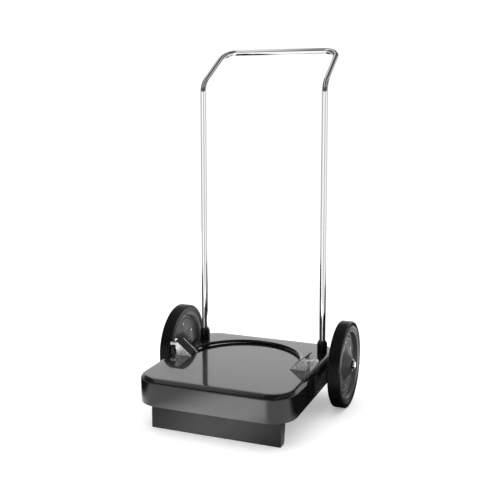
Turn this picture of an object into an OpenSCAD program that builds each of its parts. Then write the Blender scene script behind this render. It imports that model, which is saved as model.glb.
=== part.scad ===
// Two-wheeled drum dolly: a pressed steel deck on two solid-rubber wheels and a
// fixed front foot, with a bent tube push handle, a rod hoop round the back of
// the drum seat and two wedge clamps worked by studs with wing nuts.
// Units are millimetres. The origin is on the floor under the middle of the
// overall box: +X to the right, +Y to the rear (handle side), +Z up.

/* [Deck] */
// Width of the deck over its side skirts
deck_w = 454; // [448:1:456]
// Length of the deck, front skirt to rear skirt
deck_l = 488; // [480:1:496]
// Height of the deck's top face above the floor
deck_top = 153; // [151:1:158]
// Depth of the skirt, from the top face to its lower edge
skirt_h = 75; // [70:1:85]
// Plan radius of the four deck corners
corner_r = 70; // [60:1:75]
// Radius of the rounded top edge
edge_r = 14; // [10:1:16]
// Thickness of the deck sheet
sheet = 2; // [1.5:0.5:2.5]

/* [Wheels] */
// Outside radius of the tyres
wheel_r = 127; // [126:0.5:128]
// Distance of each wheel's middle plane from the centre line
wheel_x = 266; // [266:1:272]
// Axle diameter
axle_d = 15.88; // [15.5:0.01:15.9]

/* [Handle] */
// Overall height of the handle
handle_h = 1061; // [980:1:1100]
// Outside diameter of the handle tube
tube_d = 19.05; // [18.5:0.05:19.1]
// Half the distance between the two legs
leg_x = 193; // [192:1:198]
// Slope of the bent-back arms above the horizontal
arm_slope = 32.5; // [28:0.5:40]
// Inward lean of the arms, in their own plane
arm_lean = 1.6; // [0:0.1:3]
// Centre-line radius of the two upper corners
top_bend = 44; // [36:1:60]
// Centre-line radius of the two lower bends
low_bend = 44; // [22:1:50]

/* [Hoop] */
// Centre-line radius of the hoop behind the drum
hoop_r = 172; // [170:1:176]
// Diameter of the hoop rod
rod_d = 9.5; // [8:0.5:11]

/* [Clamps] */
// Height of the clamp brackets above the deck
ear_h = 37; // [36:0.5:39]
// Diameter of the clamp studs
stud_d = 6; // [5.8:0.1:6]
// Half the span of the wing nuts
wing_r = 18; // [16:1:20]

/* [Foot] */
// Half the width of the front foot
foot_x = 190; // [180:1:192]
// Sheet thickness of the foot
foot_t = 3; // [2.5:0.5:3]

/* [Hidden] */
$fn = 96;

skirt_z = deck_top - skirt_h;          // lower edge of the skirt
under = deck_top - sheet;              // underside of the deck plate
deck_f = -290;                         // front face of the deck
deck_b = deck_f + deck_l;              // rear face of the deck
deck_c = deck_f + deck_l/2;            // middle of the deck, and of the drum
axle_y = 106;
axle_z = wheel_r;
tube_r = tube_d/2;
wall = 1.5;                            // tube wall
leg_y = 120;
leg_z0 = deck_top - 11;                // lower end of the legs
bar_y = -deck_f - tube_r;              // grip bar, so the box is centred on y = 0
bar_z = handle_h - tube_r;
arm_rise = asin(cos(arm_lean)*sin(arm_slope));   // slope of an arm's own line
arm_turn = asin(sin(arm_lean)/cos(arm_rise));    // and its turn in plan
low_t = low_bend*tan((90 - arm_rise)/2);
vert_z = bar_z - (bar_y - leg_y)*tan(arm_slope);
arm_h = (bar_y - leg_y)/cos(arm_slope);
top_t = top_bend*tan((90 - arm_lean)/2);
bar_half = leg_x - arm_h*tan(arm_lean);          // where an arm's line meets the bar's
// clamps
ear_x = 200;                           // outer face of the bracket web
ear_t = 2.5;
web_t = 3;
tip_x = 154;                           // inner tip of the ears
half_d = 23.5;                         // half depth of a bracket
tip_h = 1.5;                           // height of the ear's blunt tip
slope = atan((ear_h - tip_h)/(ear_x - web_t - tip_x));
stud_z = deck_top + 25;
stud_r = stud_d/2;
plate_w = 41;
base_t = 2.5;
bolt_x = 184;                          // bracket bolts
steel_v = -3;                          // front and back of the plate's sheet, measured
back_v = -4.6;                         // square to the ears' sloping edge
pad_end = 65;                          // upper end of the pad along the slope
pin_t = 11;                            // hinge pin of the plate, along the slope
pin_v = -6.2;                          // and square to it
pin_r = 2;
boss = 4;                              // length of the web's threaded boss
// a point beside the ears' edge: t along the slope, v square to it
function on_slope(t, v) = [tip_x + t*cos(slope) - v*sin(slope),
  deck_top + tip_h + t*sin(slope) + v*cos(slope)];
pin_at = on_slope(pin_t, pin_v);

// ---------- helpers ----------

// Section of the deck's rolled edge: x = 0 is the inner end of the flat top,
// the skirt's outer face is at x = corner_r.
module edge_section() {
  translate([corner_r - sheet, 0]) square([sheet, skirt_h - edge_r]);
  intersection() {
    translate([corner_r - edge_r, skirt_h - edge_r]) difference() {
      circle(r = edge_r);
      circle(r = edge_r - sheet);
    }
    translate([corner_r - edge_r, skirt_h - edge_r]) square(edge_r + 1);
  }
  translate([0, skirt_h - sheet]) square([corner_r - edge_r, sheet]);
}

// one straight edge of the pan, of length l, its outer face towards +X
module edge_run(l) {
  rotate([90, 0, 0]) translate([0, 0, -l/2]) linear_extrude(height = l) edge_section();
}

// tube section, its wall thinned by g on both faces
module ring(g = 0) {
  difference() {
    circle(r = tube_r - g);
    circle(r = tube_r - wall + g);
  }
}
// bend of the tube about +Z, from the +X side on through angle a; its wall is a
// hair thinner, as in a drawn bend, and runs 0.3 mm on into the straights
module bend(r, a) {
  e = 0.3/r*57.3;
  rotate([0, 0, -e]) rotate_extrude(angle = a + 2*e) translate([r, 0]) ring(0.03);
}

function miter(p, i, t) =
  let (n = len(p),
       a = i > 0 ? p[i] - p[i-1] : p[1] - p[0],
       b = i < n - 1 ? p[i+1] - p[i] : p[n-1] - p[n-2],
       na = [-a[1], a[0]]/norm(a), nb = [-b[1], b[0]]/norm(b),
       m = na + nb)
  p[i] + m*(2*t/(m*m));
// closed outline of a bent sheet of thickness t, laid to the left of the line p
function sheet_outline(p, t) =
  concat(p, [for (i = [len(p)-1:-1:0]) miter(p, i, t)]);

// puts a wheel part, made about +Z, on the right-hand end of the axle
module at_wheel() {
  translate([wheel_x, axle_y, axle_z]) rotate([0, 90, 0]) children();
}
module left_side() { mirror([1, 0, 0]) children(); }

// hexagonal prism about +Z, across flats af
module hexagon(af, h) { cylinder(d = af/cos(30), h = h, $fn = 6); }

// ---------- deck ----------

module deck_pan() {
  color([0.06, 0.06, 0.065])
  difference() {
    translate([0, deck_c, skirt_z]) union() {
      for (sx = [-1, 1], sy = [-1, 1])
        translate([sx*(deck_w/2 - corner_r), sy*(deck_l/2 - corner_r), 0])
          rotate([0, 0, sx > 0 ? (sy > 0 ? 0 : -90) : (sy > 0 ? 90 : 180)])
            rotate_extrude(angle = 90) edge_section();
      for (s = [0, 180]) rotate([0, 0, s])
        translate([deck_w/2 - corner_r, 0, 0]) edge_run(deck_l - 2*corner_r);
      for (s = [90, 270]) rotate([0, 0, s])
        translate([deck_l/2 - corner_r, 0, 0]) edge_run(deck_w - 2*corner_r);
      translate([-(deck_w/2 - corner_r), -(deck_l/2 - corner_r), skirt_h - sheet])
        cube([deck_w - 2*corner_r, deck_l - 2*corner_r, sheet]);
    }
    // holes for the handle sockets, the bracket bolts and the axle
    for (s = [-1, 1]) {
      translate([s*leg_x, leg_y, under - 5]) cylinder(r = 13.1, h = 20);
      translate([s*bolt_x, deck_c, under - 5]) cylinder(r = 4.2, h = 20);
      translate([s*(deck_w/2 - 10), axle_y, axle_z]) rotate([0, s*90, 0])
        translate([0, 0, -10]) cylinder(r = axle_d/2 + 0.3, h = 30);
    }
  }
}

// hat-section rib under the deck, welded along its two flanges
module stiffener() {
  color([0.08, 0.08, 0.085])
  translate([70, foot_y + 33, 0]) rotate([90, 0, 180]) linear_extrude(height = deck_b - 24 - foot_y - 33)
    polygon([[-25, under], [-25, under-1.6], [-13.6, under-1.6], [-10.6, under-11.6],
             [10.6, under-11.6], [13.6, under-1.6], [25, under-1.6], [25, under],
             [12.2, under], [9.2, under-10], [-9.2, under-10], [-12.2, under]]);
}
module stiffener_right() { stiffener(); }
module stiffener_left() { left_side() stiffener(); }

// hanger plate that carries the axle under the deck
module axle_bracket() {
  color([0.08, 0.08, 0.085])
  difference() {
    union() {
      translate([138, axle_y, 0]) rotate([90, 0, 90]) linear_extrude(height = 4) union() {
        translate([-32, axle_z]) square([64, under - axle_z]);
        translate([-18, axle_z - 5]) square([36, 6]);
        polygon([[-32, axle_z], [-18, axle_z - 18], [18, axle_z - 18], [32, axle_z]]);
        translate([0, axle_z - 14]) circle(r = 12);
      }
      translate([141, axle_y - 32, under - 4]) cube([22, 64, 4]);
    }
    translate([130, axle_y, axle_z]) rotate([0, 90, 0]) cylinder(r = axle_d/2 + 0.05, h = 20);
  }
}
module axle_bracket_right() { axle_bracket(); }
module axle_bracket_left() { left_side() axle_bracket(); }

// ---------- front foot ----------

foot_y = -247;                          // front face of the foot
module front_foot() {
  color([0.2, 0.2, 0.205])
  union() {
    // front plate
    translate([-foot_x, foot_y, 0]) cube([2*foot_x, foot_t, under]);
    // welding flange under the deck
    translate([-foot_x, foot_y, under - foot_t]) cube([2*foot_x, 32, foot_t]);
    // tapered side returns, with a small chamfer at the floor
    for (s = [-1, 1])
      translate([s > 0 ? foot_x - foot_t : -foot_x, 0, 0])
        rotate([90, 0, 90]) linear_extrude(height = foot_t)
          polygon([[foot_y, 0], [foot_y + 24, 0], [foot_y + 28, 4],
                   [foot_y + 56, under], [foot_y, under]]);
  }
}
// gussets between the back of the foot and the deck
module foot_gussets() {
  color([0.2, 0.2, 0.205])
  for (x = [-110, 106])
    translate([x, 0, 0]) rotate([90, 0, 90]) linear_extrude(height = 4)
      polygon([[foot_y + foot_t, 30], [foot_y + foot_t + 8, 30],
               [foot_y + 70, under - 12], [foot_y + 70, under],
               [foot_y + 32, under], [foot_y + 32, under - foot_t],
               [foot_y + foot_t, under - foot_t]]);
}

// ---------- axle ----------

axle_end = wheel_x + 33;
module axle() {
  color([0.75, 0.75, 0.76])
  translate([0, axle_y, axle_z]) rotate([0, 90, 0]) rotate_extrude()
    polygon([[0, -axle_end], [axle_d/2 - 1, -axle_end], [axle_d/2, -axle_end + 1],
             [axle_d/2, axle_end - 1], [axle_d/2 - 1, axle_end], [0, axle_end]]);
}
// spacer collars between the skirt and the wheels
module axle_spacers() {
  color([0.7, 0.7, 0.7])
  for (s = [-1, 1])
    translate([s*(deck_w/2 + 0.3), axle_y, axle_z]) rotate([0, s*90, 0])
      difference() {
        cylinder(r = 12, h = wheel_x - 26.5 - deck_w/2 - 0.3);
        translate([0, 0, -1]) cylinder(r = axle_d/2 + 0.05, h = 40);
      }
}
module axle_washers() {
  color([0.78, 0.78, 0.79])
  for (s = [-1, 1])
    translate([s*(wheel_x + 26.4), axle_y, axle_z]) rotate([0, s*90, 0])
      difference() {
        cylinder(r = 13.5, h = 1.6);
        translate([0, 0, -1]) cylinder(r = axle_d/2 + 0.05, h = 5);
      }
}
// spring push nuts on the ends of the axle
module push_nuts() {
  color([0.72, 0.72, 0.73])
  for (s = [-1, 1])
    translate([s*(wheel_x + 28.1), axle_y, axle_z]) rotate([0, s*90, 0])
      difference() {
        rotate_extrude() polygon([[5, 0], [12.2, 0], [12.2, 0.9], [10.6, 1.2], [9.6, 3.4], [5, 3.4]]);
        translate([0, 0, -1]) cylinder(r = axle_d/2 + 0.03, h = 10);
      }
}

// ---------- wheels ----------

// half width of the tread and the rib pattern across it
rib_w = 4.4;
groove_w = 1.8;
tread_h = (5*rib_w + 4*groove_w)/2;
function tread() = [for (i = [0:3])
  let (g = -tread_h + rib_w + i*(rib_w + groove_w))
  each [[wheel_r, g], [wheel_r - 2.2, g + 0.3], [wheel_r - 2.2, g + groove_w - 0.3], [wheel_r, g + groove_w]]];
function side(s) = [[wheel_r - 27.6, s*12.4], [wheel_r - 18.6, s*12.4], [wheel_r - 17.6, s*14.8],
  [wheel_r - 15, s*16.2], [wheel_r - 12.4, s*16.6], [wheel_r - 11.8, s*17.6],
  [wheel_r - 7, s*18], [wheel_r - 3.4, s*17.5], [wheel_r - 1.2, s*16.4], [wheel_r, s*tread_h]];

module tyre() {
  color([0.045, 0.045, 0.045])
  at_wheel() rotate_extrude($fn = 180)
    polygon(concat(side(-1), tread(), [for (i = [9:-1:0]) side(1)[i]]));
}
module tyre_right() { tyre(); }
module tyre_left() { left_side() tyre(); }

// pressed half disc; its outline starts at the rim flange and ends at the hub
disc_t = 1.6;
disc_line = [[wheel_r - 18.9, 13.9], [wheel_r - 20, 15], [wheel_r - 22, 15.4], [wheel_r - 28, 14.5],
  [wheel_r - 31, 10.9], [wheel_r - 34, 4.4], [wheel_r - 37.5, 1.75], [84, 1.75], [82, 3.6],
  [78, 3.6], [76, 1.75], [48, 1.75], [44, 3.2], [24.5, 19.5], [22.3, 21.7], [20.8, 22.2]];
module half_disc() {
  color([0.25, 0.25, 0.255])
  union() {
    rotate_extrude($fn = 144) polygon(sheet_outline(disc_line, disc_t));
    // seat for the tyre
    rotate_extrude($fn = 144) translate([wheel_r - 29.4, 0.1]) square([1.7, 13.2]);
  }
}
module wheel_disc_outer_right() { at_wheel() half_disc(); }
module wheel_disc_outer_left() { left_side() at_wheel() half_disc(); }
module wheel_disc_inner_right() { at_wheel() mirror([0, 0, 1]) half_disc(); }
module wheel_disc_inner_left() { left_side() at_wheel() mirror([0, 0, 1]) half_disc(); }

module rivets() {
  color([0.6, 0.6, 0.6])
  at_wheel() for (i = [0:5]) rotate([0, 0, i*60]) translate([66, 0, 0])
    for (s = [-1, 1]) mirror([0, 0, s > 0 ? 0 : 1]) translate([0, 0, 1.8]) rotate_extrude()
      polygon([[0, 0], [4.2, 0], [4, 0.9], [3.1, 1.7], [1.6, 2.2], [0, 2.3]]);
}
module wheel_rivets_right() { rivets(); }
module wheel_rivets_left() { left_side() rivets(); }

module hub() {
  color([0.45, 0.45, 0.45])
  at_wheel() difference() {
    rotate_extrude() polygon([[14, -24], [18.8, -24], [20, -23], [20, 23], [18.8, 24], [14, 24]]);
    translate([0, 0, -30]) cylinder(r = 14, h = 60);
  }
}
module hub_right() { hub(); }
module hub_left() { left_side() hub(); }

// flanged plain bearings, one in each end of the hub
module bushings() {
  color([0.03, 0.03, 0.03])
  at_wheel() for (s = [-1, 1]) mirror([0, 0, s > 0 ? 0 : 1]) difference() {
    rotate_extrude() polygon([[5, 6], [13.95, 6], [13.95, 24.05], [18, 24.05], [18.4, 24.6], [18, 26],
      [5, 26]]);
    translate([0, 0, -1]) cylinder(r = axle_d/2 + 0.06, h = 40);
  }
}
module bushings_right() { bushings(); }
module bushings_left() { left_side() bushings(); }

// ---------- handle ----------

// the right-hand half of the bow: leg, lower bend, arm and corner
module handle_side() {
  translate([leg_x, leg_y, leg_z0]) linear_extrude(height = vert_z - low_t - leg_z0) ring();
  // lower bend, from the vertical towards the rear
  translate([leg_x, leg_y, vert_z - low_t]) rotate([0, 0, arm_turn]) translate([0, low_bend, 0])
    rotate([90, 0, -90]) bend(low_bend, 90 - arm_rise);
  // arm and corner, made flat and then tipped up to the slope
  translate([0, leg_y, vert_z]) rotate([arm_slope, 0, 0]) {
    translate([leg_x, 0, 0]) rotate([0, 0, arm_lean]) translate([0, low_t, 0]) rotate([-90, 0, 0])
      linear_extrude(height = arm_h/cos(arm_lean) - low_t - top_t) ring();
    translate([bar_half + top_t*sin(arm_lean) - top_bend*cos(arm_lean), arm_h - top_bend, 0])
      rotate([0, 0, arm_lean]) bend(top_bend, 90 - arm_lean);
  }
}
module handle() {
  color([0.85, 0.85, 0.87])
  union() {
    handle_side();
    left_side() handle_side();
    // grip bar
    translate([-(bar_half - top_t), bar_y, bar_z]) rotate([0, 90, 0])
      linear_extrude(height = 2*(bar_half - top_t)) ring();
  }
}

// shouldered socket that carries a leg, with a spigot through the deck
module handle_socket() {
  color([0.05, 0.05, 0.05])
  translate([leg_x, leg_y, deck_top]) difference() {
    rotate_extrude() polygon([[5, -13], [12.4, -13], [13, -12.4], [13, 0.05], [13.8, 0.05], [15.5, 1.8], [15.5, 25],
      [14.9, 26.6], [11.4, 33.2], [10.6, 34], [5, 34]]);
    // leg bore, and the tapped hole of the set screw
    translate([0, 0, -12]) cylinder(r = tube_r + 0.05, h = 60);
    translate([0, 0, -14]) cylinder(r = tube_r - 2.5, h = 6);
    translate([0, 8, 14]) rotate([-90, 0, 0]) cylinder(r = 3.05, h = 12);
  }
}
module handle_socket_right() { handle_socket(); }
module handle_socket_left() { left_side() handle_socket(); }

// ring nuts that clamp the sockets to the deck from below
module socket_nuts() {
  color([0.6, 0.6, 0.61])
  for (s = [-1, 1]) translate([s*leg_x, leg_y, under - 8.05]) difference() {
    hexagon(32, 8);
    translate([0, 0, -1]) cylinder(r = 13.02, h = 12);
  }
}
// hexagon set screws behind the sockets
module socket_screws() {
  color([0.7, 0.7, 0.71])
  for (s = [-1, 1]) translate([s*leg_x, leg_y + tube_r + 0.1, deck_top + 14]) rotate([-90, 0, 0]) union() {
    cylinder(r = 3, h = 8);
    translate([0, 0, 7.5]) hexagon(10, 4.5);
  }
}

// ---------- hoop ----------

hoop_y = deck_c;
module hoop() {
  color([0.05, 0.05, 0.05])
  intersection() {
    // the hoop's back rests on the deck and its ends stand a little higher
    translate([0, hoop_y + half_d, deck_top + rod_d/2 + 3.2])
      rotate([-1.2, 0, 0]) translate([0, -half_d, 0])
        rotate_extrude(angle = 180, $fn = 180) translate([hoop_r, 0]) circle(d = rod_d, $fn = 48);
    translate([-300, hoop_y + half_d + 0.02, 0]) cube([600, 400, 400]);
  }
}

// ---------- clamps (right-hand one, the left is its mirror image) ----------

module clamp_bracket() {
  color([0.72, 0.73, 0.74])
  difference() {
    union() {
      // two triangular ears
      for (y = [-half_d, half_d - ear_t])
        translate([0, deck_c + y + ear_t, 0]) rotate([90, 0, 0]) linear_extrude(height = ear_t)
          polygon([[tip_x, deck_top], [ear_x, deck_top], [ear_x, deck_top + ear_h - 1],
                   [ear_x - 1, deck_top + ear_h], [ear_x - web_t, deck_top + ear_h],
                   [tip_x, deck_top + tip_h]]);
      // web, lower than the ears so that the plate can rest over it, and base flange
      translate([ear_x - web_t, deck_c - half_d, deck_top]) cube([web_t, 2*half_d, ear_h - 6.7]);
      translate([172, deck_c - half_d, deck_top]) cube([ear_x - 172, 2*half_d, base_t]);
      // threaded boss of the stud
      translate([ear_x - 1, deck_c, stud_z]) rotate([0, 90, 0]) cylinder(r = 6.3, h = boss + 1);
    }
    translate([ear_x - 20, deck_c, stud_z]) rotate([0, 90, 0]) cylinder(r = stud_r + 0.05, h = 40);
    translate([bolt_x, deck_c, deck_top - 5]) cylinder(r = 4.2, h = 20);
    translate([pin_at[0], deck_c - 40, pin_at[1]]) rotate([-90, 0, 0]) cylinder(r = pin_r + 0.02, h = 80);
  }
}
module clamp_bracket_right() { clamp_bracket(); }
module clamp_bracket_left() { left_side() clamp_bracket(); }

// hinge pins of the clamp plates, headed at the front and flush at the rear
module clamp_pins() {
  color([0.75, 0.76, 0.77])
  for (s = [-1, 1]) translate([s*pin_at[0], deck_c, pin_at[1]]) rotate([-90, 0, 0])
    rotate_extrude() polygon([[0, -half_d - 1.6], [1.6, -half_d - 1.6], [3, -half_d - 0.8], [3.2, -half_d - 0.03],
      [pin_r, -half_d - 0.03], [pin_r, half_d - 0.1], [0, half_d - 0.1]]);
}

module bracket_bolts() {
  color([0.7, 0.71, 0.72])
  for (s = [-1, 1]) translate([s*bolt_x, deck_c, 0]) union() {
    translate([0, 0, deck_top + base_t + 0.02]) hexagon(12, 4.8);
    translate([0, 0, under - 10]) cylinder(r = 4, h = deck_top + base_t - under + 11);
  }
}
module bracket_nuts() {
  color([0.7, 0.71, 0.72])
  for (s = [-1, 1]) translate([s*bolt_x, deck_c, 0]) {
    difference() {
      union() {
        translate([0, 0, under - 1.7]) cylinder(r = 8.5, h = 1.65);
        translate([0, 0, under - 8.2]) hexagon(13, 6.6);
      }
      translate([0, 0, under - 12]) cylinder(r = 4.03, h = 20);
    }
  }
}

// outline drawn in X and Z, w thick and centred on the clamp
module across(w) {
  translate([0, deck_c + w/2, 0]) rotate([90, 0, 0]) linear_extrude(height = w) children();
}

// hinged backing plate: it lies on the slope, over the web, and swings up
// towards the drum about the pin
module clamp_plate() {
  color([0.05, 0.05, 0.05])
  difference() {
    union() {
      across(plate_w) polygon([on_slope(7, back_v), on_slope(pad_end - 6, back_v),
        on_slope(pad_end - 5, steel_v - 0.02), on_slope(5, steel_v - 0.02)]);
      for (y = [-plate_w/2 + 3, plate_w/2 - 3]) translate([0, y, 0])
        across(6) translate(pin_at) circle(r = 3.1);
    }
    translate([pin_at[0], deck_c - 40, pin_at[1]]) rotate([-90, 0, 0]) cylinder(r = pin_r + 0.05, h = 80);
  }
}
module clamp_plate_right() { clamp_plate(); }
module clamp_plate_left() { left_side() clamp_plate(); }

// ribbed rubber facing on the plate, flush with the ears' edges
module clamp_pad() {
  color([0.035, 0.035, 0.035])
  across(plate_w) union() {
    polygon([on_slope(5, steel_v), on_slope(pad_end, steel_v), on_slope(pad_end, -1.3), on_slope(3, -1.3)]);
    for (i = [0:11]) let (t = 4 + i*(pad_end - 7.4)/11)
      polygon([on_slope(t, -1.5), on_slope(t + 3, -1.5), on_slope(t + 2.5, -0.1), on_slope(t + 0.5, -0.1)]);
  }
}
module clamp_pad_right() { clamp_pad(); }
module clamp_pad_left() { left_side() clamp_pad(); }

// swivel tip on the inner end of the stud, which bears on the plate's back
tip_c = 194.9;
module stud_tip() {
  color([0.78, 0.79, 0.8])
  translate([tip_c, deck_c, stud_z]) rotate([0, 90, 0]) rotate_extrude() difference() {
    union() {
      intersection() {
        circle(r = 3);
        translate([0, -4]) square([4, 4]);
      }
      square([3, 1.8]);
    }
    translate([-1, -1.2]) square([2.55, 10]);
  }
}
module stud_tip_right() { stud_tip(); }
module stud_tip_left() { left_side() stud_tip(); }

// stud with a ball knob at its outer end
stud_end = 227;
module clamp_stud() {
  color([0.78, 0.79, 0.8])
  translate([0, deck_c, stud_z]) union() {
    translate([tip_c - 1, 0, 0]) rotate([0, 90, 0]) cylinder(r = 1.5, h = 5);
    translate([tip_c + 1.9, 0, 0]) rotate([0, 90, 0]) cylinder(r = stud_r, h = stud_end - tip_c - 2);
    translate([stud_end, 0, 0]) sphere(r = 5);
  }
}
module clamp_stud_right() { clamp_stud(); }
module clamp_stud_left() { left_side() clamp_stud(); }

module wing_washer() {
  color([0.75, 0.76, 0.77])
  translate([ear_x + boss + 0.3, deck_c, stud_z]) rotate([0, 90, 0]) difference() {
    cylinder(r = 6.4, h = 1.4);
    translate([0, 0, -1]) cylinder(r = stud_r + 0.06, h = 5);
  }
}
module wing_washer_right() { wing_washer(); }
module wing_washer_left() { left_side() wing_washer(); }

module wing_nut() {
  color([0.75, 0.76, 0.77])
  translate([ear_x + boss + 2.05, deck_c, stud_z]) rotate([8, 0, 0]) difference() {
    union() {
      rotate([0, 90, 0]) rotate_extrude() polygon([[0, 0], [6.6, 0], [6.6, 1.8], [5.4, 7.1], [0, 7.1]]);
      // the two wings
      for (s = [0, 180]) rotate([s, 0, 0]) translate([0, 1.2, 0]) rotate([90, 0, 0])
        linear_extrude(height = 2.4) union() {
          polygon([[0.6, 3.5], [6.6, 3.5], [9.4, wing_r - 6], [1.6, wing_r - 5]]);
          translate([4.6, wing_r - 5]) circle(r = 5);
        }
    }
    translate([-2, 0, 0]) rotate([0, 90, 0]) cylinder(r = stud_r + 0.05, h = 20);
  }
}
module wing_nut_right() { wing_nut(); }
module wing_nut_left() { left_side() wing_nut(); }

// ---------- output ----------

deck_pan();
stiffener_left();
stiffener_right();
axle_bracket_left();
axle_bracket_right();
front_foot();
foot_gussets();
axle();
axle_spacers();
axle_washers();
push_nuts();
handle();
handle_socket_left();
handle_socket_right();
socket_nuts();
socket_screws();
hoop();
clamp_bracket_left();
clamp_bracket_right();
clamp_pins();
bracket_bolts();
bracket_nuts();
tyre_left();
tyre_right();
wheel_disc_outer_left();
wheel_disc_outer_right();
wheel_disc_inner_left();
wheel_disc_inner_right();
wheel_rivets_left();
wheel_rivets_right();
hub_left();
hub_right();
bushings_left();
bushings_right();
clamp_plate_left();
clamp_plate_right();
clamp_pad_left();
clamp_pad_right();
stud_tip_left();
clamp_stud_left();
stud_tip_right();
clamp_stud_right();
wing_washer_left();
wing_washer_right();
wing_nut_left();
wing_nut_right();
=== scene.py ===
# Two-wheeled drum dolly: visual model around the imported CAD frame.
import math

import bmesh
import bpy
from mathutils import Matrix, Vector


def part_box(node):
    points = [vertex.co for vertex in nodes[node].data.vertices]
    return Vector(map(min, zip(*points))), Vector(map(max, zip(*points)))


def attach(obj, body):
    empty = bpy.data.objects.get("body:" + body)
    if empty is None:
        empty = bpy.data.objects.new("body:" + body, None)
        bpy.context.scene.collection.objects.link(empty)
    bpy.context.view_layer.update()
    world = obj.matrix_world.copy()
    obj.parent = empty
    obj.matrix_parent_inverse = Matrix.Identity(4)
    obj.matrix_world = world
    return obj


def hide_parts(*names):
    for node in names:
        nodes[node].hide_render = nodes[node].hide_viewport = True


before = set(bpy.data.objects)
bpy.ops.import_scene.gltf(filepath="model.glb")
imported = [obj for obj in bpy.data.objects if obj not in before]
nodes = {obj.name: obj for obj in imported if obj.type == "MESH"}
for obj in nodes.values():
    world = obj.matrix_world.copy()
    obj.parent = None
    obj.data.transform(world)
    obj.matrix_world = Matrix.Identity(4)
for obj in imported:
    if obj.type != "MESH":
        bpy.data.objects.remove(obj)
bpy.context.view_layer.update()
scene = bpy.context.scene
MM = 0.001

# ------------------------------------------------------------------ camera
cam_data = bpy.data.cameras.new("camera")
cam = bpy.data.objects.new("camera", cam_data)
scene.collection.objects.link(cam)
cam_data.sensor_width = 36
cam_data.lens = 820.598 / 500 * 36
cam_data.shift_y = -0.10
cam.location = (0.86394, -2.18589, 0.92000)
cam.rotation_mode = "XYZ"
cam.rotation_euler = (math.radians(90 - 7.3393), 0, math.radians(21.4073))
cam_data.clip_end = 100
scene.camera = cam


# ------------------------------------------------------------------ node helpers
class Mat:
    """A procedural material, built node by node."""

    def __init__(self, name):
        self.m = bpy.data.materials.new(name)
        self.m.use_nodes = True
        self.t = self.m.node_tree
        self.t.nodes.clear()
        self.out = self.n("ShaderNodeOutputMaterial")
        self.b = self.n("ShaderNodeBsdfPrincipled")
        self.l(self.b.outputs[0], self.out.inputs["Surface"])
        self.co = self.n("ShaderNodeTexCoord").outputs["Object"]

    def n(self, kind, **kw):
        x = self.t.nodes.new(kind)
        for k, v in kw.items():
            setattr(x, k, v)
        return x

    def l(self, a, b):
        self.t.links.new(a, b)

    def put(self, **kw):
        for k, v in kw.items():
            self.b.inputs[k.replace("_", " ")].default_value = v

    def scaled(self, s, src=None):
        x = self.n("ShaderNodeMapping")
        x.inputs["Scale"].default_value = s if hasattr(s, "__len__") else (s, s, s)
        self.l(src or self.co, x.inputs["Vector"])
        return x.outputs[0]

    def noise(self, scale, detail=3.0, rough=0.5, src=None, dist=0.0):
        x = self.n("ShaderNodeTexNoise")
        x.inputs["Scale"].default_value = scale
        x.inputs["Detail"].default_value = detail
        x.inputs["Roughness"].default_value = rough
        x.inputs["Distortion"].default_value = dist
        self.l(src or self.co, x.inputs["Vector"])
        return x.outputs[0]

    def voronoi(self, scale, src=None, feature="F1", out="Distance"):
        x = self.n("ShaderNodeTexVoronoi", feature=feature)
        x.inputs["Scale"].default_value = scale
        self.l(src or self.co, x.inputs["Vector"])
        return x.outputs[out]

    def ramp(self, fac, stops):
        x = self.n("ShaderNodeValToRGB")
        e = x.color_ramp.elements
        while len(e) < len(stops):
            e.new(0.5)
        for el, (p, c) in zip(e, stops):
            el.position = p
            el.color = (c, c, c, 1) if not hasattr(c, "__len__") else (*c, 1)
        self.l(fac, x.inputs[0])
        return x.outputs[0]

    def range(self, fac, a, b, c, d):
        x = self.n("ShaderNodeMapRange")
        for i, v in zip((1, 2, 3, 4), (a, b, c, d)):
            x.inputs[i].default_value = v
        self.l(fac, x.inputs[0])
        return x.outputs[0]

    def mix(self, fac, a, b):
        x = self.n("ShaderNodeMix", data_type="RGBA")
        for sock, v in ((x.inputs[0], fac), (x.inputs[6], a), (x.inputs[7], b)):
            if hasattr(v, "links"):
                self.l(v, sock)
            elif hasattr(v, "__len__"):
                sock.default_value = (*v, 1)
            else:
                sock.default_value = v
        return x.outputs[2]

    def math(self, op, a, b=None):
        x = self.n("ShaderNodeMath", operation=op)
        for sock, v in zip(x.inputs, (a, b)):
            if v is None:
                continue
            if hasattr(v, "links"):
                self.l(v, sock)
            else:
                sock.default_value = v
        return x.outputs[0]

    def bump(self, height, strength, distance, normal=None):
        x = self.n("ShaderNodeBump")
        x.inputs["Strength"].default_value = strength
        x.inputs["Distance"].default_value = distance
        self.l(height, x.inputs["Height"])
        if normal is not None:
            self.l(normal, x.inputs["Normal"])
        return x.outputs[0]


def enamel(name, dark, light, rough, peel=0.25, coat=1.0, dust=0.35, spec=0.5):
    """Sprayed enamel: orange peel, faint cloudiness, a trace of dust."""
    m = Mat(name)
    cloud = m.noise(9, 4, 0.55)
    fine = m.noise(900, 2, 0.6)
    speck = m.ramp(fine, [(0.0, 0.0), (0.66, 0.0), (0.74, 1.0), (1.0, 1.0)])
    base = m.mix(cloud, dark, light)
    base = m.mix(m.math("MULTIPLY", speck, dust), base, [min(1, c * 3.2 + 0.01) for c in light])
    m.l(base, m.b.inputs["Base Color"])
    r = m.range(m.noise(38, 4, 0.6), 0.3, 0.7, rough * 0.75, rough * 1.35)
    m.l(r, m.b.inputs["Roughness"])
    n1 = m.bump(m.noise(260, 2, 0.5), peel, 0.00004)
    n2 = m.bump(m.noise(11, 2, 0.4), peel * 0.6, 0.0004, n1)
    m.l(n2, m.b.inputs["Normal"])
    m.l(n2, m.b.inputs["Coat Normal"])
    m.put(Coat_Weight=coat, Coat_Roughness=0.03, Specular_IOR_Level=spec * (1 - coat) + 0.06)
    return m.m


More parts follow.
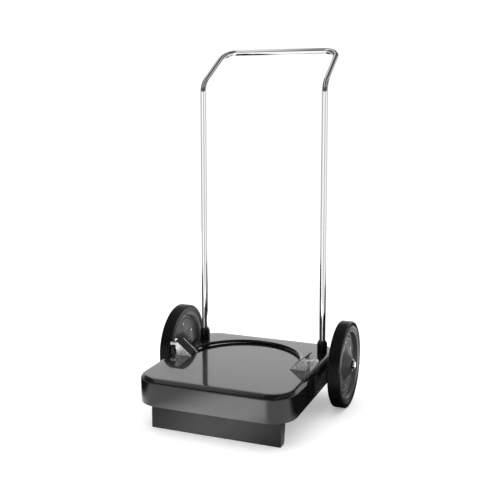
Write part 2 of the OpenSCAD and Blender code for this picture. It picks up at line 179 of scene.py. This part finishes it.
def plated(name, tone, rough, streak=(1, 1, 1), spangle=0.0, bump=0.15, warm=0.0, metal=1.0):
    """Polished or plated metal with faint drawing lines and cloudy plating."""
    m = Mat(name)
    src = m.scaled(streak)
    cloud = m.noise(26, 4, 0.6, src)
    lo = [tone * 0.93, tone * (0.93 - warm * 0.3), tone * (0.93 - warm)]
    hi = [tone, tone * (1 - warm * 0.2), tone * (1.01 - warm * 0.6)]
    base = m.mix(cloud, lo, hi)
    if spangle:
        cell = m.voronoi(420, out="Color")
        base = m.mix(spangle, base, m.mix(cell, [tone * 0.7] * 3, [min(1, tone * 1.15)] * 3))
    m.l(base, m.b.inputs["Base Color"])
    m.put(Metallic=metal)
    r = m.range(m.noise(140, 5, 0.65, src), 0.3, 0.72, rough * 0.7, rough * 1.4)
    m.l(r, m.b.inputs["Roughness"])
    m.l(m.bump(m.noise(700, 3, 0.6, src), bump, 0.00003), m.b.inputs["Normal"])
    return m.m


def turned(name, tone, rough, pitch=1800, axis="X"):
    """Turned steel: fine tool marks in rings about the wheel's axis."""
    m = Mat(name)
    base = m.mix(m.noise(60, 4), [tone * 0.8] * 3, [tone] * 3)
    m.l(base, m.b.inputs["Base Color"])
    m.put(Metallic=1.0)
    w = m.n("ShaderNodeTexWave", wave_type="BANDS", bands_direction=axis)
    w.inputs["Scale"].default_value = pitch / 10
    w.inputs["Distortion"].default_value = 0.6
    m.l(m.co, w.inputs["Vector"])
    m.l(m.range(m.noise(300, 4), 0.3, 0.7, rough * 0.7, rough * 1.3), m.b.inputs["Roughness"])
    m.l(m.bump(w.outputs[1], 0.12, 0.00003), m.b.inputs["Normal"])
    return m.m


def rubber(name, dark, light, rough, grain=1500, dusty=0.25):
    """Moulded rubber: fine grain, bloom and a little dust."""
    m = Mat(name)
    cloud = m.noise(22, 5, 0.62)
    base = m.mix(cloud, dark, light)
    bloom = m.ramp(m.noise(75, 6, 0.7), [(0.0, 0.0), (0.5, 0.0), (0.78, 1.0), (1.0, 1.0)])
    base = m.mix(m.math("MULTIPLY", bloom, dusty), base, [c * 2.4 + 0.01 for c in light])
    m.l(base, m.b.inputs["Base Color"])
    m.l(m.range(m.noise(160, 4), 0.3, 0.7, rough * 0.88, min(1, rough * 1.12)), m.b.inputs["Roughness"])
    n1 = m.bump(m.noise(grain, 3, 0.6), 0.3, 0.00006)
    m.l(m.bump(cloud, 0.2, 0.0003, n1), m.b.inputs["Normal"])
    m.put(Specular_IOR_Level=0.22)
    return m.m


M = {
    "deck": enamel("enamel_gloss_black", (0.003, 0.003, 0.0035), (0.006, 0.006, 0.0065), 0.20),
    "foot": enamel("enamel_satin_black", (0.003, 0.003, 0.0032), (0.006, 0.006, 0.0062), 0.38, 0.35, 0.06, 0.35, 0.16),
    "under": enamel("enamel_under", (0.014, 0.014, 0.015), (0.026, 0.026, 0.027), 0.38, 0.35, 0.2),
    "rod": enamel("enamel_rod", (0.002, 0.002, 0.0022), (0.004, 0.004, 0.0042), 0.22, 0.2, 0.9),
    "disc": enamel("enamel_disc_grey", (0.030, 0.030, 0.0305), (0.044, 0.044, 0.0445), 0.42, 0.3, 0.10, 0.35, 0.7),
    "chrome": plated("chrome_tube", 0.90, 0.045, (1, 1, 0.15), 0, 0.08),
    "zinc": plated("zinc_bright", 0.94, 0.30, (1, 1, 1), 0.03, 0.05, 0.02, 0.72),
    "steel": turned("steel_turned", 0.72, 0.24),
    "hub": turned("hub_steel_dark", 0.34, 0.36),
    "bore": turned("hub_bore_dark", 0.08, 0.42),
    "tyre": rubber("tyre_rubber", (0.0015, 0.0015, 0.0016), (0.0035, 0.0035, 0.0036), 0.30),
    "pad": rubber("pad_rubber", (0.008, 0.008, 0.008), (0.018, 0.018, 0.018), 0.55, 900, 0.15),
    "bush": rubber("bushing_nylon_black", (0.008, 0.008, 0.008), (0.014, 0.014, 0.014), 0.34, 600, 0.05),
}


# ------------------------------------------------------------------ mesh helpers
def make(name, verts, faces, mat, angle=35.0):
    """A piece from vertices in mm and faces, smooth apart from edges over angle."""
    me = bpy.data.meshes.new(name)
    me.from_pydata([tuple(c * MM for c in v) for v in verts], [], faces)
    bm = bmesh.new()
    bm.from_mesh(me)
    bmesh.ops.remove_doubles(bm, verts=bm.verts, dist=1e-7)
    bmesh.ops.recalc_face_normals(bm, faces=bm.faces)
    bm.to_mesh(me)
    bm.free()
    for p in me.polygons:
        p.use_smooth = True
    me.set_sharp_from_angle(angle=math.radians(angle))
    me.materials.append(mat)
    ob = bpy.data.objects.new(name, me)
    scene.collection.objects.link(ob)
    return ob


def place(ob, body, slot, *stands_for):
    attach(ob, body)
    if stands_for:
        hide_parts(*stands_for)
    return ob


def fillet(pts, radii, n=4, closed=True):
    """Rounds the corners of a polygon in a plane; radii is one number or one per point."""
    out = []
    k = len(pts)
    for i, p in enumerate(pts):
        r = radii[i] if hasattr(radii, "__len__") else radii
        if r <= 0 or (not closed and i in (0, k - 1)):
            out.append(tuple(p))
            continue
        p = Vector(p)
        a, b = Vector(pts[i - 1]) - p, Vector(pts[(i + 1) % k]) - p
        la, lb = a.length, b.length
        a.normalize()
        b.normalize()
        ang = a.angle(b)
        if ang > math.radians(178):
            out.append(tuple(p))
            continue
        t = min(r / math.tan(ang / 2), la * 0.48, lb * 0.48)
        rr = t * math.tan(ang / 2)
        c = p + (a + b).normalized() * (rr / math.sin(ang / 2))
        s, e = p + a * t - c, p + b * t - c
        for j in range(n + 1):
            out.append(tuple(c + s.lerp(e, j / n).normalized() * rr))
    return out


def lathe(name, prof, at, mat, seg=192, mirror=1, angle=40.0):
    """Turns a closed profile of (radius, offset) about the X axis through at = (x, y, z), mm."""
    verts, faces = [], []
    n = len(prof)
    for i in range(seg):
        t = 2 * math.pi * i / seg
        c, s = math.cos(t), math.sin(t)
        for r, o in prof:
            verts.append((at[0] + mirror * o, at[1] + r * c, at[2] + r * s))
    for i in range(seg):
        j = (i + 1) % seg
        for k in range(n):
            q = (k + 1) % n
            faces.append((i * n + k, i * n + q, j * n + q, j * n + k))
    return make(name, verts, faces, mat, angle)


def sweep(name, path, r, mat, seg=48):
    """A round bar or tube outline swept along path, with flat ends."""
    pts = [Vector(p) for p in path]
    verts, faces = [], []
    up = None
    for i, p in enumerate(pts):
        a = pts[i] - pts[i - 1] if i else pts[1] - pts[0]
        b = pts[i + 1] - pts[i] if i < len(pts) - 1 else a
        t = (a.normalized() + b.normalized()).normalized()
        if up is None:
            up = t.orthogonal().normalized()
        up = (up - t * up.dot(t)).normalized()
        side = t.cross(up)
        for k in range(seg):
            w = 2 * math.pi * k / seg
            verts.append(tuple(p + (up * math.cos(w) + side * math.sin(w)) * r))
    for i in range(len(pts) - 1):
        for k in range(seg):
            q = (k + 1) % seg
            faces.append((i * seg + k, i * seg + q, (i + 1) * seg + q, (i + 1) * seg + k))
    faces.append(tuple(range(seg)))
    faces.append(tuple(range((len(pts) - 1) * seg, len(pts) * seg)))
    return make(name, verts, faces, mat, 50)


def arc3(c, u, v, r, a0, a1, n):
    return [
        tuple(Vector(c) + (Vector(u) * math.cos(a) + Vector(v) * math.sin(a)) * r)
        for a in [math.radians(a0 + (a1 - a0) * i / n) for i in range(n + 1)]
    ]


def finish_cad(name, mat, bevel=0.35, segs=2, angle=32):
    """A CAD node that stays: its material, softened edges and clean normals."""
    ob = nodes[name]
    ob.data.materials.clear()
    ob.data.materials.append(mat)
    w = ob.modifiers.new("weld", "WELD")
    w.merge_threshold = 2e-6
    if bevel:
        b = ob.modifiers.new("bevel", "BEVEL")
        b.width = bevel * MM
        b.segments = segs
        b.limit_method = "ANGLE"
        b.angle_limit = math.radians(angle)
        b.harden_normals = False
        b.use_clamp_overlap = True
    n = ob.modifiers.new("normals", "WEIGHTED_NORMAL")
    n.keep_sharp = False
    n.weight = 50
    return ob


def node_mm(name):
    lo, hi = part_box(name)
    return [c / MM for c in lo], [c / MM for c in hi]


# ------------------------------------------------------------------ sizes, mm
lo, hi = node_mm("deck_pan")
DECK_X, DECK_F, DECK_B, DECK_T, SKIRT_Z = hi[0], lo[1], hi[1], hi[2], lo[2]
DECK_C = (DECK_F + DECK_B) / 2
CORNER, EDGE, SHEET = 70.0, 14.0, 2.0
lo, hi = node_mm("tyre_right")
WHEEL_X, AXLE_Y, AXLE_Z = (lo[0] + hi[0]) / 2, (lo[1] + hi[1]) / 2, (lo[2] + hi[2]) / 2
WHEEL_R = (hi[2] - lo[2]) / 2
HALF_D, EAR_X = 23.5, 200.0


# ------------------------------------------------------------------ deck
def deck():
    def outline(d, z):
        pts = []
        n = 22
        r = CORNER - d
        for cx, cy, a0 in (
            (DECK_X - CORNER, DECK_B - CORNER, 0),
            (-(DECK_X - CORNER), DECK_B - CORNER, 90),
            (-(DECK_X - CORNER), DECK_F + CORNER, 180),
            (DECK_X - CORNER, DECK_F + CORNER, 270),
        ):
            for i in range(n + 1):
                a = math.radians(a0 + 90 * i / n)
                pts.append((cx + r * math.cos(a), cy + r * math.sin(a), z))
        return pts

    prof = []
    hem = 1.0
    # inner face, from the middle of the underside down to the hem
    prof += [(CORNER - 6, DECK_T - SHEET), (EDGE + 14, DECK_T - SHEET)]
    for i in range(9):
        a = math.radians(90 + 90 * i / 8)
        prof.append((EDGE + (EDGE - SHEET) * math.cos(a), DECK_T - EDGE + (EDGE - SHEET) * math.sin(a)))
    prof.append((SHEET, SKIRT_Z + 20))
    for i in range(7):
        a = math.radians(-180 * i / 6)
        prof.append((hem + hem * math.cos(a), SKIRT_Z + hem + hem * math.sin(a)))
    prof.append((0, SKIRT_Z + 22))
    for i in range(15):
        a = math.radians(180 - 90 * i / 14)
        prof.append((EDGE + EDGE * math.cos(a), DECK_T - EDGE + EDGE * math.sin(a)))
    prof += [(EDGE + 14, DECK_T), (CORNER - 6, DECK_T)]
    verts, faces, rings = [], [], []
    for d, z in prof:
        ring = outline(d, z)
        rings.append(range(len(verts), len(verts) + len(ring)))
        verts += ring
    for a, b in zip(rings, rings[1:]):
        k = len(a)
        for i in range(k):
            j = (i + 1) % k
            faces.append((a[i], a[j], b[j], b[i]))
    faces.append(tuple(rings[0]))
    faces.append(tuple(rings[-1]))
    return place(make("deck_shell", verts, faces, M["deck"], 50), "frame", "deck_paint", "deck_pan")


deck()


# ------------------------------------------------------------------ front foot
def foot():
    lo, hi = node_mm("front_foot")
    x, y, top = hi[0], lo[1], hi[2]
    t, r = 3.0, 1.8
    # plan section of the bent sheet: side return, bend, front, bend, side return
    def section(reach):
        outer = [(-x, y + reach), (-x, y), (x, y), (x, y + reach)]
        inner = [(x - t, y + reach), (x - t, y + t), (-x + t, y + t), (-x + t, y + reach)]
        o = fillet([(*p, 0) for p in outer], r, 5, False)
        i = fillet([(*p, 0) for p in inner], 0.4, 5, False)
        return [(p[0], p[1]) for p in o + i]

    verts, faces, rings = [], [], []
    for z, reach in ((0.0, 24.4), (0.4, 25), (4, 28.6), (40, 36), (110, 49), (top, 56)):
        s = section(reach)
        if z == 0.0:
            s = [(px * 0.9988, py if py > y + 1 else py + 0.25) for px, py in s]
        rings.append(range(len(verts), len(verts) + len(s)))
        verts += [(px, py, z) for px, py in s]
    for a, b in zip(rings, rings[1:]):
        k = len(a)
        for i in range(k):
            j = (i + 1) % k
            faces.append((a[i], a[j], b[j], b[i]))
    n = len(rings[0]) // 2
    for ring in (rings[0], rings[-1]):
        for i in range(n - 1):
            faces.append((ring[i], ring[i + 1], ring[2 * n - 2 - i], ring[2 * n - 1 - i]))
    # welding flange under the deck
    k = len(verts)
    f = [(-x + 6, y + 1, top - t), (x - 6, y + 1, top - t), (x - 6, y + 32, top - t), (-x + 6, y + 32, top - t)]
    verts += f + [(a, b, top) for a, b, _ in f]
    faces += [(k, k + 1, k + 2, k + 3), (k + 4, k + 5, k + 6, k + 7)]
    faces += [(k + i, k + (i + 1) % 4, k + 4 + (i + 1) % 4, k + 4 + i) for i in range(4)]
    ob = make("foot_sheet", verts, faces, M["foot"], 40)
    return place(ob, "frame", "foot_paint", "front_foot")


foot()


# ------------------------------------------------------------------ handle
def handle():
    lo, hi = node_mm("handle")
    r = 9.525
    slope, lean, bend, corner = math.radians(32.5), math.radians(1.6), 44.0, 44.0
    leg_x, leg_y, z0 = hi[0] - r, lo[1] + r, lo[2]
    bar_y, bar_z = hi[1] - r, hi[2] - r
    rise = math.asin(math.cos(lean) * math.sin(slope))
    turn = math.asin(math.sin(lean) / math.cos(rise))
    low_t = bend * math.tan((math.pi / 2 - rise) / 2)
    vert_z = bar_z - (bar_y - leg_y) * math.tan(slope)
    arm_h = (bar_y - leg_y) / math.cos(slope)
    top_t = corner * math.tan((math.pi / 2 - lean) / 2)
    bar_half = leg_x - arm_h * math.tan(lean)
    up = Vector((0, math.cos(slope), math.sin(slope)))       # up the tipped plane
    out = Vector((1, 0, 0))

    def tipped(u, v):
        return Vector((0, leg_y, vert_z)) + out * u + up * v

    half = [(leg_x, leg_y, z) for z in (z0, z0 + 60, 400, 650, vert_z - low_t - 20)]
    fwd = Vector((-math.sin(turn), math.cos(turn), 0))
    half += arc3(tuple(Vector((leg_x, leg_y, vert_z - low_t)) + fwd * bend), tuple(-fwd), (0, 0, 1), bend, 0,
                 math.degrees(math.pi / 2 - rise), 14)
    along = Vector((-math.sin(lean), math.cos(lean)))
    start, stop = low_t, arm_h / math.cos(lean) - top_t
    for f in (0.15, 0.5, 0.85):
        q = along * (start + (stop - start) * f)
        half.append(tuple(tipped(leg_x + q.x, q.y)))
    cu, cv = bar_half + top_t * math.sin(lean) - corner * math.cos(lean), arm_h - corner
    for i in range(23):
        a = lean + (math.pi / 2 - lean) * i / 22
        half.append(tuple(tipped(cu + corner * math.cos(a), cv + corner * math.sin(a))))
    half.append((bar_half - top_t - 40, bar_y, bar_z))
    path = half + [(-a, b, c) for a, b, c in reversed(half)]
    return place(sweep("handle_tube", path, r, M["chrome"], 64), "frame", "chrome_tube", "handle")


handle()


# ------------------------------------------------------------------ hoop
def hoop():
    rod, rad, tilt = 4.75, 172.0, math.radians(-1.2)
    c = Vector((0, DECK_C, DECK_T + rod + 3.2))
    a0 = math.degrees(math.asin((HALF_D + 0.3) / rad))
    path = []
    for i in range(121):
        a = math.radians(a0 + (180 - 2 * a0) * i / 120)
        p = Vector((rad * math.cos(a), rad * math.sin(a) - HALF_D, 0))
        p = Matrix.Rotation(tilt, 3, "X") @ p
        path.append(tuple(c + Vector((0, HALF_D, 0)) + p))
    return place(sweep("hoop_rod", path, rod, M["rod"], 40), "frame", "deck_paint", "hoop")


hoop()


# ------------------------------------------------------------------ wheels
def tyre_profile():
    R = WHEEL_R
    rib, gr = 4.4, 1.8
    th = (5 * rib + 4 * gr) / 2
    side = [
        (R - 27.6, 12.4, 0.3), (R - 18.6, 12.4, 0.3), (R - 17.6, 14.8, 0.8), (R - 15, 16.2, 1.0),
        (R - 12.4, 16.6, 0.3), (R - 11.8, 17.6, 0.4), (R - 7, 18, 3.0), (R - 3.4, 17.5, 2.0),
        (R - 1.2, 16.4, 1.2), (R, th, 0.8),
    ]
    pts = [(r, -o, f) for r, o, f in side]
    for i in range(4):
        g = -th + rib + i * (rib + gr)
        pts += [(R, g, 0.5), (R - 2.2, g + 0.3, 0.3), (R - 2.2, g + gr - 0.3, 0.3), (R, g + gr, 0.5)]
    pts += [(r, o, f) for r, o, f in reversed(side)]
    out = fillet([(p[0], p[1], 0) for p in pts], [p[2] for p in pts], 3)
    return [(p[0], p[1]) for p in out]


def disc_profile():
    R, t = WHEEL_R, 1.6
    line = [
        (R - 18.9, 13.9), (R - 20, 15), (R - 22, 15.4), (R - 28, 14.5), (R - 31, 10.9), (R - 34, 4.4),
        (R - 37.5, 1.75), (84, 1.75), (82, 3.6), (78, 3.6), (76, 1.75), (48, 1.75), (44, 3.2),
        (24.5, 19.5), (22.3, 21.7), (20.8, 22.2),
    ]
    off = []
    for i, p in enumerate(line):
        a = Vector(line[i]) - Vector(line[i - 1]) if i else Vector(line[1]) - Vector(line[0])
        b = Vector(line[i + 1]) - Vector(line[i]) if i < len(line) - 1 else a
        na = Vector((-a.y, a.x)).normalized()
        nb = Vector((-b.y, b.x)).normalized()
        m = na + nb
        off.append(tuple(Vector(p) + m * (2 * t / m.dot(m))))
    if off[8][1] < line[8][1]:
        off = [tuple(2 * Vector(p) - Vector(q)) for p, q in zip(line, off)]
    front = fillet([(*p, 0) for p in off], [0.4] + [2.2] * (len(off) - 2) + [0.4], 4, False)
    back = fillet([(*p, 0) for p in reversed(line)], 1.2, 3, False)
    return [(p[0], p[1]) for p in front + back]


for name, sgn in (("left", -1), ("right", 1)):
    at = (sgn * WHEEL_X, AXLE_Y, AXLE_Z)
    body = "wheel_" + name
    place(lathe("tyre_tread_" + name, tyre_profile(), at, M["tyre"], 256, sgn, 28), body, "tyre_rubber", "tyre_" + name)
    place(lathe("disc_out_" + name, disc_profile(), at, M["disc"], 160, sgn, 45), body, "disc_paint", "wheel_disc_outer_" + name)
    place(lathe("disc_in_" + name, disc_profile(), at, M["disc"], 160, -sgn, 45), body, "disc_paint", "wheel_disc_inner_" + name)


# ------------------------------------------------------------------ CAD nodes that stay
for n in ("stiffener_left", "stiffener_right", "axle_bracket_left", "axle_bracket_right", "foot_gussets"):
    finish_cad(n, M["under"], 0.5)
for n in ("axle", "axle_spacers", "push_nuts"):
    finish_cad(n, M["steel"], 0.25)
finish_cad("axle_washers", M["bore"], 0.25)
for n in ("handle_socket_left", "handle_socket_right"):
    finish_cad(n, M["rod"], 0.4)
for n in ("socket_nuts", "socket_screws", "bracket_bolts", "bracket_nuts", "clamp_pins", "clamp_bracket_left",
          "clamp_bracket_right", "wheel_rivets_left", "wheel_rivets_right", "wing_washer_left", "wing_washer_right",
          "stud_tip_left", "stud_tip_right", "clamp_stud_left", "clamp_stud_right", "wing_nut_left", "wing_nut_right"):
    finish_cad(n, M["zinc"], 0.35)
for n in ("clamp_plate_left", "clamp_plate_right"):
    finish_cad(n, M["rod"], 0.3)
for n in ("clamp_pad_left", "clamp_pad_right"):
    finish_cad(n, M["pad"], 0.25)
for n in ("hub_left", "hub_right"):
    finish_cad(n, M["hub"], 0.3)
for n in ("bushings_left", "bushings_right"):
    finish_cad(n, M["bush"], 0.3)


# ------------------------------------------------------------------ stage and light
def stage():
    # a round white floor, which melts into the white backdrop
    n, s = 96, 3.2
    me = bpy.data.meshes.new("floor")
    me.from_pydata([(s * math.cos(2 * math.pi * i / n), s * math.sin(2 * math.pi * i / n), 0) for i in range(n)], [],
                   [tuple(range(n))])
    fl = bpy.data.objects.new("floor", me)
    scene.collection.objects.link(fl)
    m = Mat("floor_white")
    m.l(m.mix(m.noise(2), (0.93, 0.93, 0.93), (0.95, 0.95, 0.95)), m.b.inputs["Base Color"])
    m.put(Roughness=0.9, Specular_IOR_Level=0.1, Emission_Color=(1, 1, 1, 1), Emission_Strength=0.32)
    # far from the dolly, reflections see the lower part of the walls in place of the floor
    far = m.n("ShaderNodeVectorMath", operation="LENGTH")
    m.l(m.co, far.inputs[0])
    open_ = m.n("ShaderNodeMapRange", interpolation_type="SMOOTHSTEP")
    for i, k in zip((1, 2, 3, 4), (0.80, 1.35, 0.0, 1.0)):
        open_.inputs[i].default_value = k
    m.l(far.outputs["Value"], open_.inputs[0])
    path = m.n("ShaderNodeLightPath")
    mixer = m.n("ShaderNodeMixShader")
    m.l(m.math("MULTIPLY", open_.outputs[0], path.outputs["Is Glossy Ray"]), mixer.inputs[0])
    m.l(m.b.outputs[0], mixer.inputs[1])
    m.l(m.n("ShaderNodeBsdfTransparent").outputs[0], mixer.inputs[2])
    m.l(mixer.outputs[0], m.out.inputs["Surface"])
    me.materials.append(m.m)

    w = bpy.data.worlds.new("studio")
    scene.world = w
    w.use_nodes = True
    t = w.node_tree
    t.nodes.clear()

    def node(kind, **kw):
        x = t.nodes.new(kind)
        for k, v in kw.items():
            setattr(x, k, v)
        return x

    def ranged(src, a, b, c, d):
        x = node("ShaderNodeMapRange", interpolation_type="SMOOTHSTEP")
        for i, v in zip((1, 2, 3, 4), (a, b, c, d)):
            x.inputs[i].default_value = v
        t.links.new(src, x.inputs[0])
        return x.outputs[0]

    def op(kind, a, b):
        x = node("ShaderNodeMath", operation=kind)
        for sock, v in zip(x.inputs, (a, b)):
            if hasattr(v, "links"):
                t.links.new(v, sock)
            else:
                sock.default_value = v
        return x.outputs[0]

    out = node("ShaderNodeOutputWorld")
    bg = node("ShaderNodeBackground")
    co = node("ShaderNodeTexCoord")
    sep = node("ShaderNodeSeparateXYZ")
    t.links.new(co.outputs["Generated"], sep.inputs[0])
    # what polished surfaces see: white walls with darker gaps between them, under a dim ceiling
    turn = op("ADD", op("DIVIDE", op("ARCTAN2", sep.outputs[0], op("MULTIPLY", sep.outputs[1], -1.0)), 2 * math.pi), 0.5)
    ring = node("ShaderNodeValToRGB")
    e = ring.color_ramp.elements
    while len(e) < len(WALLS):
        e.new(0.5)
    for el, (p, c) in zip(e, WALLS):
        el.position = p
        el.color = (c, c, c, 1)
    t.links.new(turn, ring.inputs[0])
    rear = ranged(sep.outputs[1], -0.15, 0.25, 0.0, 1.0)
    fade = op("ADD", op("MULTIPLY", ranged(sep.outputs[2], 0.04, 0.18, 1.0, 0.0), op("SUBTRACT", 1.0, rear)),
              op("MULTIPLY", ranged(sep.outputs[2], 0.365, 0.45, 1.0, 0.0), rear))
    # two lamp banks hang from the dim ceiling
    bank = op("MAXIMUM", ranged(op("ABSOLUTE", op("SUBTRACT", sep.outputs[0], -0.42), 0), 0.05, 0.16, 0.75, 0.0),
              ranged(op("ABSOLUTE", op("SUBTRACT", sep.outputs[0], 0.50), 0), 0.03, 0.12, 0.6, 0.0))
    bank = op("MULTIPLY", bank, ranged(sep.outputs[2], 0.45, 0.6, 0.0, 1.0))
    roof = op("ADD", CEILING, bank)
    seen = op("ADD", op("MULTIPLY", ring.outputs[0], fade), op("MULTIPLY", op("SUBTRACT", 1.0, fade), roof))
    lp = node("ShaderNodeLightPath")
    mx = node("ShaderNodeMix")
    t.links.new(lp.outputs["Is Glossy Ray"], mx.inputs[0])
    mx.inputs[2].default_value = AMBIENT
    t.links.new(seen, mx.inputs[3])
    t.links.new(mx.outputs[0], bg.inputs["Strength"])
    bg.inputs["Color"].default_value = (1, 1, 1, 1)
    t.links.new(bg.outputs[0], out.inputs["Surface"])


def area(name, loc, target, size, power, size_y=None, spread=180, seen=True):
    d = bpy.data.lights.new(name, "AREA")
    d.shape = "RECTANGLE"
    d.size = size
    d.size_y = size_y or size
    d.energy = power
    d.spread = math.radians(spread)
    ob = bpy.data.objects.new(name, d)
    scene.collection.objects.link(ob)
    ob.location = loc
    ob.rotation_mode = "QUATERNION"
    ob.rotation_quaternion = (Vector(target) - Vector(loc)).to_track_quat("-Z", "Y")
    ob.visible_glossy = seen
    return ob


def card(name, pts, tone, feather, z=0.001):
    """A card that only reflections see: a painted reflection of a dark or lit patch of floor beside the glossy subject.

    Its edge is feathered: feather gives (centre, scale, start, end), and the card fades out as the
    distance from centre, scaled along X and Y, goes from start to end."""
    me = bpy.data.meshes.new(name)
    me.from_pydata([(x, y, z) for x, y in pts], [], [tuple(range(len(pts)))])
    ob = bpy.data.objects.new(name, me)
    scene.collection.objects.link(ob)
    m = Mat(name)
    m.t.nodes.remove(m.b)
    e = m.n("ShaderNodeEmission")
    e.inputs["Color"].default_value = (1, 1, 1, 1)
    e.inputs["Strength"].default_value = tone
    clear = m.n("ShaderNodeBsdfTransparent")
    mixer = m.n("ShaderNodeMixShader")
    (cx, cy), (sx, sy), start, end = feather
    v = m.n("ShaderNodeMapping")
    v.inputs["Location"].default_value = (-cx * sx, -cy * sy, 0)
    v.inputs["Scale"].default_value = (sx, sy, 0)
    m.l(m.co, v.inputs["Vector"])
    dist = m.n("ShaderNodeVectorMath", operation="LENGTH")
    m.l(v.outputs[0], dist.inputs[0])
    fade = m.n("ShaderNodeMapRange", interpolation_type="SMOOTHSTEP")
    for i, k in zip((1, 2, 3, 4), (start, end, 1.0, 0.0)):
        fade.inputs[i].default_value = k
    m.l(dist.outputs["Value"], fade.inputs[0])
    m.l(fade.outputs[0], mixer.inputs[0])
    m.l(clear.outputs[0], mixer.inputs[1])
    m.l(e.outputs[0], mixer.inputs[2])
    m.l(mixer.outputs[0], m.out.inputs["Surface"])
    me.materials.append(m.m)
    for k in ("visible_camera", "visible_diffuse", "visible_transmission", "visible_volume_scatter", "visible_shadow"):
        setattr(ob, k, False)
    return ob


WALLS = [(0.0, 1.30), (0.10, 1.08), (0.20, 0.38), (0.28, 0.42), (0.36, 0.80), (0.46, 1.25), (0.52, 1.0), (0.545, 0.30),
         (0.575, 0.65), (0.64, 0.85), (0.70, 1.3), (0.76, 0.60), (0.86, 0.65), (0.93, 1.18), (1.0, 1.30)]
CEILING, AMBIENT = 0.10, 1.05
stage()
area("top_softbox", (-0.3, -0.2, 2.6), (0, 0, 0), 1.6, 5, None, 180, False)
# painted shade: a dark patch of floor on the right that only reflections see, darkening the deck's right side
card("shade_card_right", [(0.05, -1.0), (1.7, -1.0), (1.7, 1.5), (0.235, 1.5), (0.05, 0.0)], 0.01,
     ((0.9, 0.9), (0.6, 1.0), 1.0, 1.2))
# painted shade: a dark patch of floor on the left that only reflections see
card("shade_card_left", [(-1.8, -0.85), (-0.45, -0.85), (-0.31, -0.10), (-0.31, 1.5), (-1.8, 1.5)], 0.01,
     ((-1.3, 0.35), (1.0, 0.60), 0.84, 0.99))
# painted pool of light on the floor in front, seen only in the front skirt's reflection
card("glow_front", [(-0.36, -1.0), (0.30, -1.0), (0.30, -0.20), (-0.36, -0.20)], 4.1,
     ((-0.03, -0.50), (1.0, 0.40), 0.05, 0.25), 0.002)
# painted reflection: a bright patch that only reflections see, lightening the right wheel disc
card("glow_wheel", [(0.24, 0.28), (0.66, 0.28), (0.66, 0.74), (0.24, 0.74)], 6.0,
     ((0.45, 0.51), (1.3, 1.0), 0.03, 0.19), 0.002)
scene.view_settings.view_transform = "Standard"
